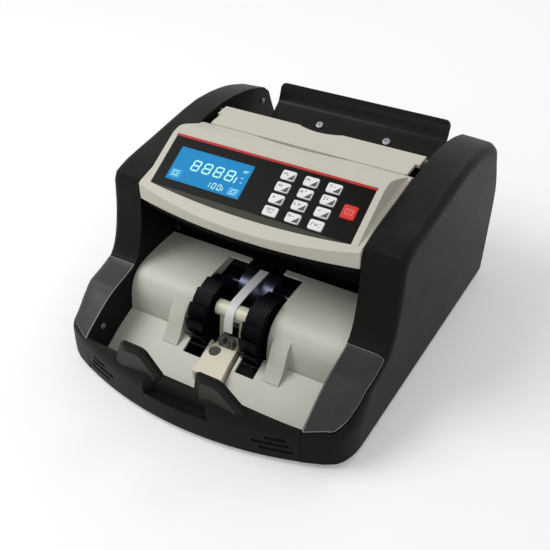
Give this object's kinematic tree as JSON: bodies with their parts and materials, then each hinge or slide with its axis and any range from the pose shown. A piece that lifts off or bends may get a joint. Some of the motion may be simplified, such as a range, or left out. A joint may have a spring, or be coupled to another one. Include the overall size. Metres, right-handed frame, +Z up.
{
  "type": "banknote counting machine",
  "caption": "Desktop banknote counter: rear hopper with flap, sloped key and display panel, belt-driven rollers, front stacker with bladed wheels and two paddle tabs.",
  "frame": {"origin": "centre of the machine's outline, on the surface its feet stand on", "axes": "+X across the machine to the operator's right, -Y towards the operator (the front), +Z up"},
  "size_m": [0.259, 0.3158, 0.1594],
  "materials": {
    "cover_black": "satin",
    "lip_black": "satin",
    "guide_grey": "satin",
    "block_beige": "matte",
    "strap_white": "matte",
    "bar_cream": "satin",
    "sensor_grey": "matte",
    "hopper_black": "satin",
    "screw_steel": "satin",
    "throat_black": "matte",
    "head_grey": "satin",
    "overlay_film": "gloss",
    "display_blue": "gloss",
    "module_green": "matte",
    "board_green": "satin",
    "inlet_black": "satin",
    "rocker_red": "gloss",
    "belt_rubber": "matte",
    "separator_grey": "matte",
    "knob_blue": "satin",
    "shaft_steel": "satin",
    "tyre_rubber": "matte",
    "roller_chrome": "polished",
    "wheel_black": "satin",
    "motor_steel": "satin",
    "sheet_steel": "satin",
    "bearing_steel": "satin",
    "foot_rubber": "matte",
    "key_white": "satin",
    "key_red": "satin"
  },
  "bodies": {
    "chassis": {"base_plate": "sheet_steel", "rubber_feet": "foot_rubber", "side_cover_left": "cover_black", "side_cover_right": "cover_black", "front_cover": "cover_black", "stacker_lip": "lip_black", "stacker_floor": "guide_grey", "stacker_guides": "guide_grey", "centre_block": "block_beige", "stacker_strap": "strap_white", "strap_bar": "bar_cream", "stack_sensor": "sensor_grey", "rear_cover": "cover_black", "hopper_plate": "hopper_black", "screws": "screw_steel", "throat_plate": "throat_black", "note_bed": "throat_black", "head_cover": "head_grey", "panel_overlay": "overlay_film", "lcd_window": "display_blue", "lcd_module": "module_green", "key_board": "board_green", "head_tray": "throat_black", "power_inlet": "inlet_black", "switch_body": "inlet_black", "main_board": "board_green", "drive_belts": "belt_rubber", "motor": "motor_steel", "side_frames": "sheet_steel", "tie_rods": "shaft_steel", "bearings": "bearing_steel"},
    "flap": {"top_flap": "head_grey"},
    "handle": {"carry_handle": "cover_black"},
    "rocker": {"switch_rocker": "rocker_red"},
    "separator_slide": {"separator": "separator_grey"},
    "adjuster": {"adjust_knob": "knob_blue"},
    "feed": {"feed_shaft": "shaft_steel", "feed_tyres": "tyre_rubber"},
    "kicker": {"kicker_shaft": "shaft_steel", "kicker_tyres": "tyre_rubber"},
    "counter": {"count_roller": "roller_chrome"},
    "stacker_wheels": {"impeller_shaft": "shaft_steel", "impellers": "wheel_black"},
    "motor_rotor": {"motor_pulley": "shaft_steel"},
    "key_11_cap": {"key_11": "key_white"},
    "key_12_cap": {"key_12": "key_white"},
    "key_13_cap": {"key_13": "key_white"},
    "key_21_cap": {"key_21": "key_white"},
    "key_22_cap": {"key_22": "key_white"},
    "key_23_cap": {"key_23": "key_white"},
    "key_31_cap": {"key_31": "key_white"},
    "key_32_cap": {"key_32": "key_white"},
    "key_33_cap": {"key_33": "key_white"},
    "key_41_cap": {"key_41": "key_white"},
    "key_42_cap": {"key_42": "key_white"},
    "key_43_cap": {"key_43": "key_white"},
    "key_start_cap": {"key_start": "key_red"}
  },
  "joints": [
    {"name": "flap_hinge", "type": "hinge", "parent": "chassis", "child": "flap", "pos_m": [0, 0.066, 0.1425], "axis": [-1, 0, 0], "range_deg": [0, 95]},
    {"name": "handle_hinge", "type": "hinge", "parent": "chassis", "child": "handle", "pos_m": [0, 0.1506, 0.075], "axis": [1, 0, 0], "range_deg": [0, 110]},
    {"name": "rocker_hinge", "type": "hinge", "parent": "chassis", "child": "rocker", "pos_m": [0.014, 0.1452, 0.034], "axis": [0, 0, 1], "range_deg": [0, 16]},
    {"name": "adjuster_turn", "type": "hinge", "parent": "chassis", "child": "adjuster", "pos_m": [0, 0.05, 0.12], "axis": [0, 0, 1], "range_deg": [-181, 451]},
    {"name": "separator_lift", "type": "slide", "parent": "chassis", "child": "separator_slide", "axis": [0, 0, 1], "range_m": [-0.0005, 0.00125]},
    {"name": "feed_spin", "type": "hinge", "parent": "chassis", "child": "feed", "pos_m": [0, 0.04, 0.054], "axis": [1, 0, 0], "continuous": true},
    {"name": "kicker_spin", "type": "hinge", "parent": "chassis", "child": "kicker", "pos_m": [0, 0.088, 0.074], "axis": [1, 0, 0], "continuous": true},
    {"name": "counter_spin", "type": "hinge", "parent": "chassis", "child": "counter", "pos_m": [0, -0.031, 0.046], "axis": [1, 0, 0], "continuous": true},
    {"name": "stacker_spin", "type": "hinge", "parent": "chassis", "child": "stacker_wheels", "pos_m": [0, -0.0655, 0.038], "axis": [1, 0, 0], "continuous": true},
    {"name": "motor_spin", "type": "hinge", "parent": "chassis", "child": "motor_rotor", "pos_m": [0, 0.07, 0.035], "axis": [1, 0, 0], "continuous": true},
    {"name": "key_11_press", "type": "slide", "parent": "chassis", "child": "key_11_cap", "axis": [0, 0.4924, -0.8704], "range_m": [0, 0.0008], "stiffness_N_per_m": 300, "springref_m": -0.001},
    {"name": "key_12_press", "type": "slide", "parent": "chassis", "child": "key_12_cap", "axis": [0, 0.4924, -0.8704], "range_m": [0, 0.0008], "stiffness_N_per_m": 300, "springref_m": -0.001},
    {"name": "key_13_press", "type": "slide", "parent": "chassis", "child": "key_13_cap", "axis": [0, 0.4924, -0.8704], "range_m": [0, 0.0008], "stiffness_N_per_m": 300, "springref_m": -0.001},
    {"name": "key_21_press", "type": "slide", "parent": "chassis", "child": "key_21_cap", "axis": [0, 0.4924, -0.8704], "range_m": [0, 0.0008], "stiffness_N_per_m": 300, "springref_m": -0.001},
    {"name": "key_22_press", "type": "slide", "parent": "chassis", "child": "key_22_cap", "axis": [0, 0.4924, -0.8704], "range_m": [0, 0.0008], "stiffness_N_per_m": 300, "springref_m": -0.001},
    {"name": "key_23_press", "type": "slide", "parent": "chassis", "child": "key_23_cap", "axis": [0, 0.4924, -0.8704], "range_m": [0, 0.0008], "stiffness_N_per_m": 300, "springref_m": -0.001},
    {"name": "key_31_press", "type": "slide", "parent": "chassis", "child": "key_31_cap", "axis": [0, 0.4924, -0.8704], "range_m": [0, 0.0008], "stiffness_N_per_m": 300, "springref_m": -0.001},
    {"name": "key_32_press", "type": "slide", "parent": "chassis", "child": "key_32_cap", "axis": [0, 0.4924, -0.8704], "range_m": [0, 0.0008], "stiffness_N_per_m": 300, "springref_m": -0.001},
    {"name": "key_33_press", "type": "slide", "parent": "chassis", "child": "key_33_cap", "axis": [0, 0.4924, -0.8704], "range_m": [0, 0.0008], "stiffness_N_per_m": 300, "springref_m": -0.001},
    {"name": "key_41_press", "type": "slide", "parent": "chassis", "child": "key_41_cap", "axis": [0, 0.4924, -0.8704], "range_m": [0, 0.0008], "stiffness_N_per_m": 300, "springref_m": -0.001},
    {"name": "key_42_press", "type": "slide", "parent": "chassis", "child": "key_42_cap", "axis": [0, 0.4924, -0.8704], "range_m": [0, 0.0008], "stiffness_N_per_m": 300, "springref_m": -0.001},
    {"name": "key_43_press", "type": "slide", "parent": "chassis", "child": "key_43_cap", "axis": [0, 0.4924, -0.8704], "range_m": [0, 0.0008], "stiffness_N_per_m": 300, "springref_m": -0.001},
    {"name": "key_start_press", "type": "slide", "parent": "chassis", "child": "key_start_cap", "axis": [0, 0.4924, -0.8704], "range_m": [0, 0.0008], "stiffness_N_per_m": 300, "springref_m": -0.001}
  ],
  "couplings": [
    {"joint": "kicker_spin", "follows": "feed_spin", "ratio": 1},
    {"joint": "counter_spin", "follows": "feed_spin", "ratio": 1.4},
    {"joint": "stacker_spin", "follows": "feed_spin", "ratio": 0.875},
    {"joint": "motor_spin", "follows": "feed_spin", "ratio": 1.4},
    {"joint": "adjuster_turn", "follows": "separator_lift", "rad_per_m": 6283.2}
  ]
}
